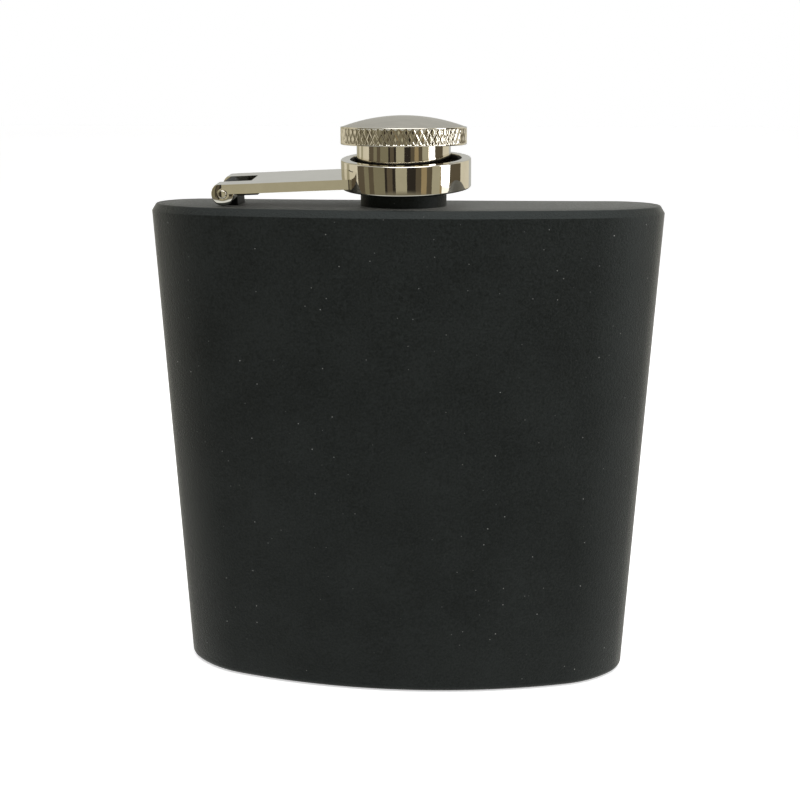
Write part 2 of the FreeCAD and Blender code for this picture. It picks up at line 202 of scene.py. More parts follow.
# ---- Shader nodes -------------------------------------------------------------------------
class Shader:
    """A principled material, with short calls for the nodes that feed it."""

    def __init__(self, name, metallic, specular=0.5):
        self.material = bpy.data.materials.new(name)
        self.material.use_nodes = True
        self.tree = self.material.node_tree
        self.surface = self.tree.nodes["Principled BSDF"]
        self.surface.inputs["Metallic"].default_value = metallic
        self.surface.inputs["Specular IOR Level"].default_value = specular
        self.place = self.add("ShaderNodeTexCoord").outputs["Object"]

    def add(self, kind, **settings):
        node = self.tree.nodes.new(kind)
        for name, value in settings.items():
            setattr(node, name, value)
        return node

    def link(self, source, target):
        self.tree.links.new(source, target)

    def stretched(self, scale):
        """The object's own coordinates, scaled by axis."""
        mapping = self.add("ShaderNodeMapping")
        mapping.inputs["Scale"].default_value = scale
        self.link(self.place, mapping.inputs["Vector"])
        return mapping.outputs["Vector"]

    def noise(self, per_mm, detail=2.0, roughness=0.5, place=None):
        node = self.add("ShaderNodeTexNoise")
        node.inputs["Scale"].default_value = per_mm / MM
        node.inputs["Detail"].default_value = detail
        node.inputs["Roughness"].default_value = roughness
        self.link(place or self.place, node.inputs["Vector"])
        return node.outputs["Fac"]

    def ramp(self, value, low, high, dark, light):
        """A colour or grey that goes from dark at low to light at high."""
        node = self.add("ShaderNodeValToRGB")
        ends = node.color_ramp.elements
        ends[0].position, ends[1].position = low, high
        ends[0].color, ends[1].color = (*dark, 1), (*light, 1)
        self.link(value, node.inputs["Fac"])
        return node.outputs["Color"]

    def spread(self, value, low, high, to_low, to_high):
        """A number carried from one range to another."""
        node = self.add("ShaderNodeMapRange")
        limits = {"From Min": low, "From Max": high, "To Min": to_low, "To Max": to_high}
        for name, number in limits.items():
            node.inputs[name].default_value = number
        self.link(value, node.inputs["Value"])
        return node.outputs["Result"]

    def maths(self, operation, first, second):
        node = self.add("ShaderNodeMath", operation=operation)
        for socket, value in zip(node.inputs, (first, second)):
            if isinstance(value, (int, float)):
                socket.default_value = value
            else:
                self.link(value, socket)
        return node.outputs["Value"]

    def mixed(self, share, under, over):
        node = self.add("ShaderNodeMix", data_type="RGBA")
        self.link(share, node.inputs["Factor"])
        for socket, colour in ((node.inputs["A"], under), (node.inputs["B"], over)):
            if isinstance(colour, tuple):
                socket.default_value = (*colour, 1)
            else:
                self.link(colour, socket)
        return node.outputs["Result"]

    def bump(self, height, distance, strength=1.0, normal=None):
        node = self.add("ShaderNodeBump")
        node.inputs["Strength"].default_value = strength
        node.inputs["Distance"].default_value = distance
        self.link(height, node.inputs["Height"])
        if normal is not None:
            self.link(normal, node.inputs["Normal"])
        return node.outputs["Normal"]

    def finish(self, colour, roughness, normal=None):
        self.link(colour, self.surface.inputs["Base Color"])
        self.link(roughness, self.surface.inputs["Roughness"])
        if normal is not None:
            self.link(normal, self.surface.inputs["Normal"])
        return self.material


def powder_coat(name, specular, sheen, dark, light):
    """Matt charcoal coat: sandy grain, faint clouding and a few pale specks of dust."""
    s = Shader(name, metallic=0.0, specular=specular)
    s.surface.inputs["Specular Tint"].default_value = (0.90, 1.0, 0.99, 1)
    s.surface.inputs["Sheen Weight"].default_value = sheen
    s.surface.inputs["Sheen Roughness"].default_value = 0.38
    s.surface.inputs["Sheen Tint"].default_value = (1.0, 0.99, 0.91, 1)
    grain = s.noise(2.6, detail=4.0, roughness=0.65)
    cloud = s.noise(0.08, detail=2.0)
    tone = s.maths("ADD", s.maths("MULTIPLY", grain, 0.75), s.maths("MULTIPLY", cloud, 0.25))
    colour = s.ramp(tone, 0.38, 0.62, dark, light)
    cells = s.add("ShaderNodeTexVoronoi")
    cells.inputs["Scale"].default_value = 0.55 / MM
    s.link(s.place, cells.inputs["Vector"])
    near = s.spread(cells.outputs["Distance"], 0.030, 0.066, 1.0, 0.0)
    pick = s.add("ShaderNodeSeparateColor")
    s.link(cells.outputs["Color"], pick.inputs["Color"])
    chosen = s.maths("GREATER_THAN", pick.outputs["Red"], 0.2)
    speck = s.maths("MULTIPLY", near, s.maths("MULTIPLY", chosen, pick.outputs["Green"]))
    colour = s.mixed(speck, colour, (0.30, 0.30, 0.29))
    rough = s.spread(grain, 0.3, 0.7, 0.44, 0.58)
    return s.finish(colour, rough, s.bump(grain, 0.10 * MM, 1.0))


def polished_nickel():
    """Bright plate, warm in tone, with faint smears and fine ripples."""
    s = Shader("polished_nickel", metallic=1.0)
    smear = s.noise(0.35, detail=3.0, roughness=0.6)
    fine = s.noise(3.0, detail=2.0)
    colour = s.ramp(smear, 0.3, 0.7, (0.75, 0.715, 0.63), (0.81, 0.775, 0.69))
    rough = s.spread(smear, 0.3, 0.75, 0.025, 0.06)
    ripple = s.bump(s.noise(0.45, detail=1.0), 0.03 * MM, 0.25)
    return s.finish(colour, rough, s.bump(fine, 0.002 * MM, 0.3, ripple))


def satin_nickel():
    """Plate over a blasted surface, with faint rubbed marks."""
    s = Shader("satin_nickel", metallic=1.0)
    rubbed = s.noise(1.2, detail=4.0, roughness=0.65, place=s.stretched((0.25, 1.0, 1.0)))
    fine = s.noise(9.0, detail=2.0)
    colour = s.ramp(rubbed, 0.3, 0.7, (0.52, 0.495, 0.435), (0.60, 0.57, 0.505))
    rough = s.spread(rubbed, 0.3, 0.7, 0.30, 0.40)
    return s.finish(colour, rough, s.bump(fine, 0.004 * MM, 0.35))


def bare_steel():
    """Turned steel, not plated: fine rings and a duller tone."""
    s = Shader("bare_steel", metallic=1.0)
    rings = s.noise(4.0, detail=3.0, place=s.stretched((0.02, 0.02, 1.0)))
    colour = s.ramp(rings, 0.3, 0.7, (0.42, 0.42, 0.42), (0.56, 0.56, 0.555))
    rough = s.spread(rings, 0.3, 0.7, 0.24, 0.38)
    return s.finish(colour, rough, s.bump(rings, 0.004 * MM, 0.4))


def black_nylon():
    """Moulded black plastic."""
    s = Shader("black_nylon", metallic=0.0, specular=0.25)
    grain = s.noise(4.0, detail=2.0)
    colour = s.ramp(grain, 0.3, 0.7, (0.0035, 0.0035, 0.0035), (0.007, 0.007, 0.007))
    return s.finish(colour, s.spread(grain, 0.3, 0.7, 0.6, 0.75), s.bump(grain, 0.01 * MM, 0.3))


def milky_plastic():
    """Natural polyethylene."""
    s = Shader("milky_plastic", metallic=0.0, specular=0.4)
    cloud = s.noise(0.5, detail=2.0)
    colour = s.ramp(cloud, 0.3, 0.7, (0.66, 0.66, 0.62), (0.75, 0.75, 0.71))
    return s.finish(colour, s.spread(cloud, 0.3, 0.7, 0.38, 0.5), s.bump(cloud, 0.02 * MM, 0.2))


def pale_silicone():
    """Soft translucent-looking rubber."""
    s = Shader("pale_silicone", metallic=0.0, specular=0.35)
    cloud = s.noise(0.8, detail=2.0)
    colour = s.ramp(cloud, 0.3, 0.7, (0.55, 0.56, 0.56), (0.64, 0.65, 0.65))
    return s.finish(colour, s.spread(cloud, 0.3, 0.7, 0.5, 0.65), s.bump(cloud, 0.01 * MM, 0.2))


COAT = powder_coat("powder_coat", 0.29, 0.27, (0.0012, 0.0019, 0.0018), (0.0090, 0.0106, 0.0102))
# Painted shade: a copy of the powder coat for the lug, with its sheen and gloss cut so that it reads
# as the lug lying in shadow under the arm
SHADED_LUG_COAT = powder_coat("lug_coat_painted_shade", 0.2, 0.03, (0.0025, 0.0030, 0.0028), (0.0080, 0.0090, 0.0086))
NICKEL = polished_nickel()
SATIN = satin_nickel()
STEEL = bare_steel()
NYLON = black_nylon()
PLASTIC = milky_plastic()
SILICONE = pale_silicone()


# ---- Mesh helpers -------------------------------------------------------------------------
def filleted(corners, closed=True, steps=6):
    """Turn (a, b, radius) corners into a plain (a, b) path with each corner rounded."""
    path = []
    count = len(corners)
    for index, (a, b, radius) in enumerate(corners):
        here = Vector((a, b))
        if radius == 0 or (not closed and index in (0, count - 1)):
            path.append((a, b))
            continue
        before = (Vector(corners[index - 1][:2]) - here).normalized()
        after = (Vector(corners[(index + 1) % count][:2]) - here).normalized()
        half = before.angle(after) / 2
        start = here + before * radius / math.tan(half)
        centre = here + (before + after).normalized() * radius / math.sin(half)
        sweep = math.pi - 2 * half
        turn = 1 if before.x * after.y - before.y * after.x < 0 else -1
        spoke = start - centre
        for step in range(steps + 1):
            angle = turn * sweep * step / steps
            cos, sin = math.cos(angle), math.sin(angle)
            path.append((
                centre.x + spoke.x * cos - spoke.y * sin,
                centre.y + spoke.x * sin + spoke.y * cos,
            ))
    return path


def new_mesh(name, points, faces):
    mesh = bpy.data.meshes.new(name)
    mesh.from_pydata([tuple(point) for point in points], [], faces)
    mesh.validate()
    return mesh


def turn_outward(mesh):
    """Point every face of a closed mesh outward."""
    work = bmesh.new()
    work.from_mesh(mesh)
    bmesh.ops.recalc_face_normals(work, faces=work.faces)
    work.to_mesh(mesh)
    work.free()


def stitched(name, rings, closed):
    """Join equal rings of points into a surface. A ring of one point is a pole."""
    points, starts, faces = [], [], []
    for ring in rings:
        starts.append(len(points))
        points.extend(ring)
    pairs = list(zip(range(len(rings) - 1), range(1, len(rings))))
    if closed:
        pairs.append((len(rings) - 1, 0))
    for low, high in pairs:
        count = max(len(rings[low]), len(rings[high]))
        for k in range(count):
            m = (k + 1) % count
            quad = [
                starts[low] + (k if len(rings[low]) > 1 else 0),
                starts[low] + (m if len(rings[low]) > 1 else 0),
                starts[high] + (m if len(rings[high]) > 1 else 0),
                starts[high] + (k if len(rings[high]) > 1 else 0),
            ]
            faces.append([v for n, v in enumerate(quad) if v not in quad[:n]])
    return new_mesh(name, points, faces)


def lathe(name, path, segments=192, closed=True, radius_at=None):
    """Turn a path of (radius, height) about Z. radius_at may change a radius by angle and height."""
    rings = []
    for radius, height in path:
        if radius < 1e-7:
            rings.append([(0, 0, height)])
            continue
        ring = []
        for k in range(segments):
            angle = 2 * math.pi * k / segments
            r = radius_at(radius, angle, height) if radius_at else radius
            ring.append((r * math.cos(angle), r * math.sin(angle), height))
        rings.append(ring)
    return stitched(name, rings, closed)


def divided(path, step):
    """Add points along a closed path so that none are further apart than step."""
    result = []
    for (a, b), (c, d) in zip(path, path[1:] + path[:1]):
        pieces = max(1, math.ceil(math.hypot(c - a, d - b) / step))
        for k in range(pieces):
            result.append((a + (c - a) * k / pieces, b + (d - b) * k / pieces))
    return result


def shown(name, mesh, body, material, replaced, place=None):
    """Put a finished mesh in the scene, riding on its body in place of its CAD nodes.

    A mesh that already holds its materials comes with None as its material.
    """
    if place is not None:
        mesh.transform(place)
    turn_outward(mesh)
    mesh.shade_smooth()
    mesh.set_sharp_from_angle(angle=SMOOTH_ANGLE)
    piece = bpy.data.objects.new(name, mesh)
    bpy.context.scene.collection.objects.link(piece)
    if material is not None:
        mesh.materials.append(material)
    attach(piece, body)
    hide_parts(*replaced)


def outline_arcs(share):
    """Right half of the body's outline from front to back, for a body that is base at 0 and top at 1.

    Each arc is (centre x, centre y, radius, first turn, last turn, side), where side is -1 on a bulge,
    whose radius shrinks as the outline is set in, and 1 on the hollow back, whose radius grows.
    """
    width = BASE_WIDTH + (TOP_WIDTH - BASE_WIDTH) * share
    bulge = BASE_BULGE + (TOP_BULGE - BASE_BULGE) * share
    end_x = width / 2 - END_RADIUS
    reach = SHOULDER_RADIUS - END_RADIUS
    shoulder_x = end_x - reach * math.cos(SHOULDER_ANGLE)
    shoulder_y = reach * math.sin(SHOULDER_ANGLE)
    rest = bulge - SHOULDER_RADIUS
    front_y = (shoulder_x**2 + shoulder_y**2 - rest**2) / (2 * (rest + shoulder_y))
    hollow = (end_x**2 + BACK_DEPTH**2 - END_RADIUS**2) / (2 * (END_RADIUS - BACK_DEPTH))
    hollow_y = hollow + BACK_DEPTH
    front_turn = math.atan2(shoulder_x, front_y - shoulder_y)
    back_turn = math.atan2(end_x, hollow_y)
    shoulder_turn = math.pi / 2 - SHOULDER_ANGLE
    return [
        (0, front_y, front_y + bulge, 0, front_turn, -1),
        (shoulder_x, shoulder_y, SHOULDER_RADIUS, front_turn, shoulder_turn, -1),
        (end_x, 0, END_RADIUS, shoulder_turn, math.pi - back_turn, -1),
        (0, hollow_y, hollow, math.pi - back_turn, math.pi, 1),
    ]


def outline(share, inset, height):
    """Points round the kidney outline, set in evenly, anticlockwise from the front middle."""
    half = []
    for (x, y, radius, start, stop, side), steps in zip(outline_arcs(share), OUTLINE_STEPS):
        size = radius + side * inset
        for k in range(steps):
            turn = start + (stop - start) * k / steps
            if side > 0:
                turn = math.pi - turn
            half.append((x + size * math.sin(turn), END_LINE_Y + y - size * math.cos(turn), height))
    back = (0, END_LINE_Y + BACK_DEPTH - inset, height)
    return half + [back] + [(-x, y, z) for x, y, z in reversed(half[1:])]


def swept(name, path):
    """Carry a closed path of (inset, height) round the body's outline."""
    rings = [outline(min(max(z / BODY_HEIGHT, 0), 1), inset, z) for inset, z in path]
    return stitched(name, rings, closed=True)


# ---- Bottle pieces ------------------------------------------------------------------------
def body_shell():
    under_lip = PLATE_THICKNESS
    roof = BODY_HEIGHT - PLATE_THICKNESS
    corners = [
        (BASE_PLATE_INSET, under_lip, 0),
        (BASE_PLATE_INSET, 0, SEAM),
        (0, 0, BASE_EDGE_RADIUS),
        (0, BODY_HEIGHT - TOP_EDGE_DROP, 0.12 * MM),
        (TOP_EDGE_INSET, BODY_HEIGHT, 0.5 * MM),
        (TOP_PLATE_INSET, BODY_HEIGHT, SEAM),
        (TOP_PLATE_INSET, roof, 0),
        (WALL, roof, TOP_INNER_RADIUS),
        (WALL, under_lip, BASE_EDGE_RADIUS - WALL),
    ]
    path = divided(filleted(corners, steps=8), 3 * MM)
    mesh = swept("body_shell", path)
    shown("flask_body", mesh, "bottle", COAT, ["body_shell"])


def plate_mesh(name, share, inset, face, inward, hole):
    """End plate: outer face, eased edge and inner face, round a hole or closed in the middle."""
    far = face + inward * PLATE_THICKNESS
    corners = [(PLATE_RING_INSET, face, 0), (inset, face, SEAM), (inset, far, 0)]
    rings = [outline(share, offset, z) for offset, z in filleted(corners, closed=False, steps=5)]

    def inner_ring(z, shrink):
        if hole == 0 and shrink == 1:
            return [(0, 0, z)]
        ring = []
        for x, y, _ in rings[0]:
            angle = math.atan2(y, x)
            goal = Vector((hole * math.cos(angle), hole * math.sin(angle)))
            point = Vector((x, y)).lerp(goal, shrink)
            ring.append((point.x, point.y, z))
        return ring

    shares = (0.25, 0.5, 0.75, 1.0)
    front = [inner_ring(face, shrink) for shrink in reversed(shares)]
    back = [inner_ring(far, shrink) for shrink in shares]
    return stitched(name, front + rings + back, closed=hole > 0)


def end_plates():
    mesh = plate_mesh("top_plate", 1, TOP_PLATE_INSET, BODY_HEIGHT, -1, SPIGOT_RADIUS)
    shown("flask_top_plate", mesh, "bottle", COAT, ["top_plate"])
    mesh = plate_mesh("base_plate", 0, BASE_PLATE_INSET, 0.0, 1, 0.0)
    shown("flask_base_plate", mesh, "bottle", COAT, ["base_plate"])


def ridge_height(height, angle, start):
    """Share of the thread's depth at a point, which fades in and out at the thread's two ends."""
    turns = (height - start) / PITCH - angle / (2 * math.pi)
    nearest = round(turns)
    position = nearest + angle / (2 * math.pi)
    if position < 0 or position > THREAD_TURNS:
        return 0.0
    fade = min(1.0, position / RIDGE_FADE, (THREAD_TURNS - position) / RIDGE_FADE)
    across = abs(turns - nearest) * PITCH
    flank = (RIDGE_ROOT - across) / RIDGE_FLANK
    return max(0.0, min(1.0, flank)) * fade


def neck_spout():
    thread_end = NECK_THREAD_START + PITCH * THREAD_TURNS + RIDGE_ROOT
    corners = [
        (NECK_BORE, -SPIGOT_DEPTH, 0),
        (SPIGOT_RADIUS, -SPIGOT_DEPTH, 0),
        (SPIGOT_RADIUS, 0, 0),
        (COLLAR_RADIUS, 0, 0),
        (COLLAR_RADIUS, COLLAR_HEIGHT, 0.25 * MM),
        (NECK_ROOT, COLLAR_HEIGHT, 0.1 * MM),
        (NECK_ROOT, thread_end, 0),
        (LIP_RADIUS, thread_end + 0.25 * MM, 0),
        (LIP_RADIUS, NECK_HEIGHT, 0.25 * MM),
        (NECK_BORE, NECK_HEIGHT, 0.2 * MM),
    ]
    path = divided(filleted(corners, steps=5), 0.05 * MM)

    def with_ridge(radius, angle, height):
        if abs(radius - NECK_ROOT) > 1e-6:
            return radius
        return radius + (NECK_CREST - NECK_ROOT) * ridge_height(height, angle, NECK_THREAD_START)

    mesh = lathe("neck_spout", path, segments=160, radius_at=with_ridge)
    mesh.materials.append(COAT)
    mesh.materials.append(STEEL)
    for face in mesh.polygons:
        face.material_index = int(face.center.z > COLLAR_HEIGHT + 0.1 * MM)
    shown("flask_neck", mesh, "bottle", None, ["neck_spout"], TO_PLATE)


# ---- Arm pieces ---------------------------------------------------------------------------
def extruded(name, plan, low, high, axis):
    """Solid between two flat copies of a closed plan, stacked along Z or Y."""
    def at(point, level):
        return (point[0], point[1], level) if axis == "Z" else (point[0], level, point[1])

    count = len(plan)
    points = [at(p, low) for p in plan] + [at(p, high) for p in plan]
    faces = [[k, (k + 1) % count, count + (k + 1) % count, count + k] for k in range(count)]
    faces += [list(range(count))[::-1], list(range(count, 2 * count))]
    mesh = new_mesh(name, points, faces)
    turn_outward(mesh)
    return mesh


def circle_points(radius, count):
    angles = [2 * math.pi * k / count for k in range(count)]
    return [(radius * math.cos(a), radius * math.sin(a)) for a in angles]


def weld(mesh):
    """Merge the points closer than WELD_GAP and drop the faces that this leaves without area."""
    work = bmesh.new()
    work.from_mesh(mesh)
    bmesh.ops.remove_doubles(work, verts=work.verts, dist=WELD_GAP)
    bmesh.ops.dissolve_degenerate(work, dist=WELD_GAP, edges=work.edges)
    work.to_mesh(mesh)
    work.free()


def combined(base, steps, easing):
    """Apply exact booleans to a mesh, then ease its edges, and give back the final mesh."""
    solid = bpy.data.objects.new("solid", base)
    bpy.context.scene.collection.objects.link(solid)
    tools = []
    for operation, mesh in steps:
        tool = bpy.data.objects.new("tool", mesh)
        bpy.context.scene.collection.objects.link(tool)
        modifier = solid.modifiers.new(operation, "BOOLEAN")
        modifier.operation = operation
        modifier.solver = "EXACT"
        modifier.object = tool
        tools.append(tool)
    ease = solid.modifiers.new("ease", "BEVEL")
    ease.width = easing
    ease.segments = 3
    ease.limit_method = "ANGLE"
    ease.angle_limit = EASED_ANGLE
    ease.use_clamp_overlap = True
    bpy.context.view_layer.update()
    graph = bpy.context.evaluated_depsgraph_get()
    final = bpy.data.meshes.new_from_object(solid.evaluated_get(graph))
    for item in tools + [solid]:
        bpy.data.objects.remove(item)
    weld(final)
    return final


def arm_plan():
    """Outline of the arm from above: straight sides that flare out and run into the ring's wall."""
    half = ARM_WIDTH / 2
    flare_y = half + ARM_FLARE
    flare_x = RING_DISTANCE - math.sqrt((RING_RADIUS + ARM_FLARE) ** 2 - flare_y**2)
    toward = math.atan2(-flare_y, RING_DISTANCE - flare_x)
    steps = 8
    side = []
    for k in range(steps + 1):
        angle = -math.pi / 2 + (toward + math.pi / 2) * k / steps
        side.append((flare_x + ARM_FLARE * math.cos(angle), flare_y + ARM_FLARE * math.sin(angle)))
    last = math.atan2(side[-1][1], side[-1][0] - RING_DISTANCE)
    inside = []
    for k in range(2 * steps + 1):
        angle = last + (2 * math.pi - 2 * last) * k / (2 * steps)
        inside.append((RING_DISTANCE + RING_CORE * math.cos(angle), RING_CORE * math.sin(angle)))
    return [(0.0, half)] + side + inside + [(x, -y) for x, y in reversed(side)] + [(0.0, -half)]


def retaining_arm():
    half = ARM_WIDTH / 2
    bar = extruded("arm", arm_plan(), 0.0, ARM_TOP, "Z")
    proud = half + EAR_PROUD
    rim = half - EAR_CONE_DROP * (EAR_RADIUS - EAR_FLAT_RADIUS) / (EAR_CONE_RADIUS - EAR_FLAT_RADIUS)
    face = [(0, proud, 0), (EAR_FLAT_RADIUS, proud, 0), (EAR_RADIUS, rim, EAR_EDGE_RADIUS)]
    ear = [(r, -y, rounding) for r, y, rounding in face] + face[::-1]
    ears = lathe("ears", filleted(ear, closed=False, steps=8), segments=128, closed=False)
    ears.transform(Matrix.Rotation(math.radians(90), 4, "X"))
    past = 2 * EAR_RADIUS
    above = [(-past, ARM_TOP), (past, ARM_TOP), (past, 2 * past), (-past, 2 * past)]
    slot = [(-past, -past), (SLOT_END, -past), (SLOT_END, past), (-past, past)]
    steps = [
        ("UNION", ears),
        ("DIFFERENCE", extruded("above", above, -ARM_WIDTH, ARM_WIDTH, "Y")),
        ("DIFFERENCE", extruded("slot", slot, -SLOT_WIDTH / 2, SLOT_WIDTH / 2, "Y")),
    ]
    recess = circle_points(PIN_RECESS_RADIUS, 64)
    for side in (-1, 1):
        levels = sorted((side * (half - PIN_RECESS_DEPTH), side * (half + 1 * MM)))
        steps.append(("DIFFERENCE", extruded("recess", recess, *levels, "Y")))
    mesh = combined(bar, steps, ARM_EASING)
    shown("cap_arm", mesh, "arm", NICKEL, ["retaining_arm"], TO_ARM)


def ring_and_sleeve():
    corners = [
        (RING_COUNTERBORE, 0, 0.12 * MM),
        (RING_RADIUS, 0, 0.3 * MM),
        (RING_RADIUS, RING_HEIGHT, 0.28 * MM),
        (RING_BORE, RING_HEIGHT, 0.1 * MM),
        (RING_BORE, RING_LIP_TOP, 0),
        (RING_LIP_BORE, RING_LIP_TOP, 0.08 * MM),
        (RING_LIP_BORE, RING_LIP_BASE, 0.08 * MM),
        (RING_COUNTERBORE, RING_LIP_BASE, 0),
    ]
    mesh = lathe("ring", filleted(corners), segments=256)
    shown("cap_ring", mesh, "arm", NICKEL, ["retaining_ring"], TO_RING)
    corners = [
        (LINER_BORE, RING_LIP_TOP, 0),
        (RING_BORE, RING_LIP_TOP, 0),
        (RING_BORE, LINER_TOP, 0.05 * MM),
        (LINER_BORE, LINER_TOP, 0.15 * MM),
    ]
    mesh = lathe("liner", filleted(corners), segments=192)
    shown("ring_sleeve", mesh, "arm", NYLON, ["ring_liner"], TO_RING)


def hinge_pin():
    seat = ARM_WIDTH / 2 - PIN_RECESS_DEPTH
    face = ARM_WIDTH / 2 + PIN_HEAD_RISE
    corners = [
        (PIN_RADIUS, 0, 0),
        (PIN_RADIUS, seat, 0),
        (PIN_HEAD_RADIUS, seat, 0),
        (PIN_HEAD_RADIUS, face, PIN_HEAD_EDGE),
        (0, face, 0),
    ]
    half = filleted(corners, closed=False)
    path = [(r, -z) for r, z in reversed(half[1:])] + half
    mesh = lathe("pin", path, segments=64, closed=False)
    turn = TO_ARM @ Matrix.Rotation(math.radians(-90), 4, "X")
    shown("arm_rivet", mesh, "arm", NICKEL, ["hinge_pin"], turn)


def hinge_lug():
    half = LUG_WIDTH / 2
    top = -LUG_STOP_GAP
    base = extruded("lug", circle_points(LUG_RADIUS, 72), -half, half, "Y")
    foot = [
        (-LUG_RADIUS, -LUG_FOOT_DEPTH),
        (LUG_FOOT_RIGHT, -LUG_FOOT_DEPTH),
        (LUG_FOOT_RIGHT, top),
        (0, top),
        (0, 0),
        (-LUG_RADIUS, 0),
    ]
    under = top - LUG_LIP_THICKNESS
    lip = [(0, under), (LUG_LIP_RIGHT, under), (LUG_LIP_RIGHT, top), (0, top)]
    bore = circle_points(PIN_RADIUS + PIN_CLEARANCE, 48)
    below = [(-BEYOND, -BEYOND), (BEYOND, -BEYOND), (BEYOND, 0), (-BEYOND, 0)]
    bottle = extruded("bottle", below, -BEYOND, BEYOND, "Y")
    bottle.transform(TO_ARM.inverted() @ Matrix.Translation((PIN.x, PIN.y, PLATE_Z)))
    steps = [
        ("UNION", extruded("foot", foot, -half, half, "Y")),
        ("UNION", extruded("lip", lip, -half, half, "Y")),
        ("DIFFERENCE", extruded("bore", bore, -2 * half, 2 * half, "Y")),
        ("DIFFERENCE", bottle),
    ]
    mesh = combined(base, steps, LUG_EASING)
    # The lug wears the shaded copy of the powder coat: painted shade
    shown("arm_lug", mesh, "bottle", SHADED_LUG_COAT, ["hinge_lug"], TO_ARM)


# ---- Cap pieces ---------------------------------------------------------------------------
def knurl(radius, angle, height):
    """Cut two crossing sets of grooves into the band of the head."""
    if radius < HEAD_RADIUS - 1e-6:
        return radius
    low = HEAD_UNDERSIDE + KNURL_MARGIN
    high = HEAD_RIM - KNURL_MARGIN
    fade = min(1.0, max(0.0, min(height - low, high - height) / KNURL_FADE))
    depth = 1.0
    for lean in (-1, 1):
        phase = KNURL_GROOVES * angle / (2 * math.pi) + lean * height / KNURL_LEAD
        share = abs(2 * (phase % 1.0) - 1)
        depth = min(depth, share / KNURL_GROOVE_SHARE)
    return radius - KNURL_DEPTH * fade * (1 - depth)


def cap_knob():
    seat = HEAD_RIM - DOME_THICKNESS
    corners = [
        (SKIRT_BORE, SKIRT_END, 0.1 * MM),
        (SKIRT_RADIUS, SKIRT_END, 0.2 * MM),
        (SKIRT_RADIUS, GROOVE_BASE, 0.05 * MM),
        (GROOVE_RADIUS, GROOVE_BASE, 0),
        (GROOVE_RADIUS, GROOVE_TOP, 0),
        (SKIRT_RADIUS, GROOVE_TOP, 0.05 * MM),
        (SKIRT_RADIUS, HEAD_UNDERSIDE, 0.15 * MM),
        (HEAD_RADIUS, HEAD_UNDERSIDE, 0.16 * MM),
        (HEAD_RADIUS, HEAD_RIM, 0.14 * MM),
        (DOME_RADIUS, HEAD_RIM, 0.04 * MM),
        (DOME_RADIUS, seat, 0),
        (FLANGE_RADIUS, seat, 0),
        (FLANGE_RADIUS, FLANGE_BASE, 0),
        (INSERT_RADIUS, FLANGE_BASE, 0),
        (INSERT_RADIUS, INSERT_END, 0),
        (SKIRT_BORE, INSERT_END, 0),
    ]
    path = filleted(corners, steps=5)
    fine = []
    for (a, b), (c, d) in zip(path, path[1:] + path[:1]):
        on_band = abs(a - HEAD_RADIUS) < 1e-7 and abs(c - HEAD_RADIUS) < 1e-7
        pieces = KNURL_ROWS if on_band else 1
        fine += [(a + (c - a) * k / pieces, b + (d - b) * k / pieces) for k in range(pieces)]
    mesh = lathe("knob", fine, segments=KNURL_GROOVES * KNURL_POINTS, radius_at=knurl)
    shown("cap_head", mesh, "cap", NICKEL, ["cap_knob"], TO_PLATE)


def cap_dome():
    ball = (DOME_RADIUS**2 + DOME_RISE**2) / (2 * DOME_RISE)
    centre = HEAD_RIM + DOME_RISE - ball
    reach = math.asin(DOME_RADIUS / ball)
    steps = 32
    crown = []
    for k in range(steps + 1):
        angle = reach * (1 - k / steps)
        crown.append((ball * math.sin(angle), centre + ball * math.cos(angle)))
    inside = [(r * DOME_INSIDE_SHARE, z - DOME_THICKNESS) for r, z in reversed(crown[1:])]
    path = inside + [(DOME_RADIUS, HEAD_RIM - DOME_THICKNESS)] + crown
    mesh = lathe("dome", path, segments=192, closed=False)
    shown("cap_cover", mesh, "cap", SATIN, ["cap_dome"], TO_PLATE)


def thread_insert():
    corners = [
        (CAP_ROOT, INSERT_CEILING, 0),
        (CAP_ROOT, INSERT_END, 0.1 * MM),
        (INSERT_RADIUS, INSERT_END, 0),
        (INSERT_RADIUS, FLANGE_BASE, 0),
        (FLANGE_RADIUS, FLANGE_BASE, 0),
        (FLANGE_RADIUS, INSERT_TOP, 0),
        (0, INSERT_TOP, 0),
    ]
    outside = filleted(corners, closed=False, steps=4)[1:]
    depth = INSERT_CEILING - INSERT_END
    rows = 100
    inner_wall = [(CAP_ROOT, INSERT_CEILING - depth * k / rows) for k in range(rows)]
    path = [(0, INSERT_CEILING)] + inner_wall + outside

    def with_ridge(radius, angle, height):
        if abs(radius - CAP_ROOT) > 1e-6:
            return radius
        return radius - (CAP_ROOT - CAP_CREST) * ridge_height(height, angle, CAP_THREAD_START)

    mesh = lathe("insert", path, segments=160, closed=False, radius_at=with_ridge)
    shown("cap_thread", mesh, "cap", PLASTIC, ["thread_insert"], TO_PLATE)


def kept_nodes():
    """CAD nodes whose shape is right as it is."""
    for node, material in (("retaining_clip", STEEL), ("gasket", SILICONE)):
        piece = frame["nodes"][node]
        piece.data.materials.clear()
        piece.data.materials.append(material)


body_shell()
end_plates()
neck_spout()
hinge_lug()
retaining_arm()
ring_and_sleeve()
hinge_pin()
cap_knob()
cap_dome()
thread_insert()
kept_nodes()


# ---- Studio -------------------------------------------------------------------------------
PALE = (0.54, 0.545, 0.525)
CREAM = (0.72, 0.67, 0.54)
KHAKI = (0.42, 0.39, 0.28)
OLIVE = (0.22, 0.20, 0.13)
WOOD = (0.35, 0.27, 0.15)
SHADE = (0.11, 0.09, 0.06)
BLACK = (0.03, 0.025, 0.02)
WINDOW = (1.35, 1.33, 1.27)
CEILING = (0.64, 0.65, 0.65)
FAR_FLOOR = (0.20, 0.18, 0.13)
PALE_FLOOR = (0.80, 0.82, 0.81)
NEAR_FLOOR = (0.28, 0.28, 0.27)

